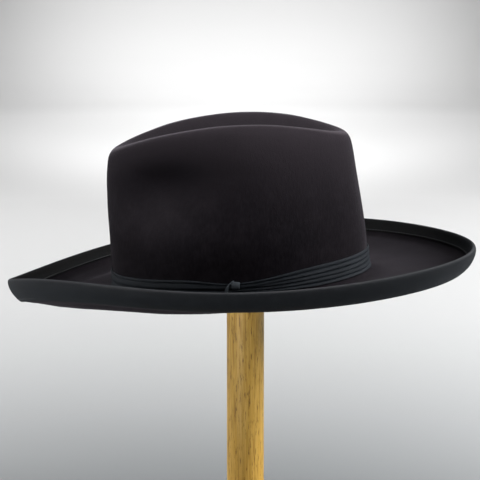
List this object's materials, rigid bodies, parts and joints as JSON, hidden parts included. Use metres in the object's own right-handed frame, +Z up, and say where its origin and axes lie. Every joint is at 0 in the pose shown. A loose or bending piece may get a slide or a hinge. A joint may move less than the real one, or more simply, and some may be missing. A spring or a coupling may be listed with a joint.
{
  "type": "western hat on a wooden stand",
  "caption": "Black felt western hat with a creased, pinched crown, curled bound brim and knotted pleated ribbon band, on a plain round wooden stand.",
  "frame": {"origin": "middle of the object's box, on the underside of the stand's foot", "axes": "+Z up, -Y to the front of the hat, +X to the wearer's left"},
  "size_m": [0.3162, 0.3716, 0.3534],
  "materials": {
    "felt": "short napped black fur felt with a brown tint",
    "binding_ribbon": "charcoal grosgrain, folded over the edge and stitched",
    "band_ribbon": "blue black grosgrain, laid in pleats",
    "stand_wood": "golden softwood with straight grain, clear satin lacquer"
  },
  "bodies": {
    "root": {"crown_and_brim": "felt", "brim_binding": "binding_ribbon", "hat_band": "band_ribbon", "band_knot": "band_ribbon", "stand_post": "stand_wood", "stand_cap": "stand_wood", "stand_base": "stand_wood"}
  },
  "joints": []
}
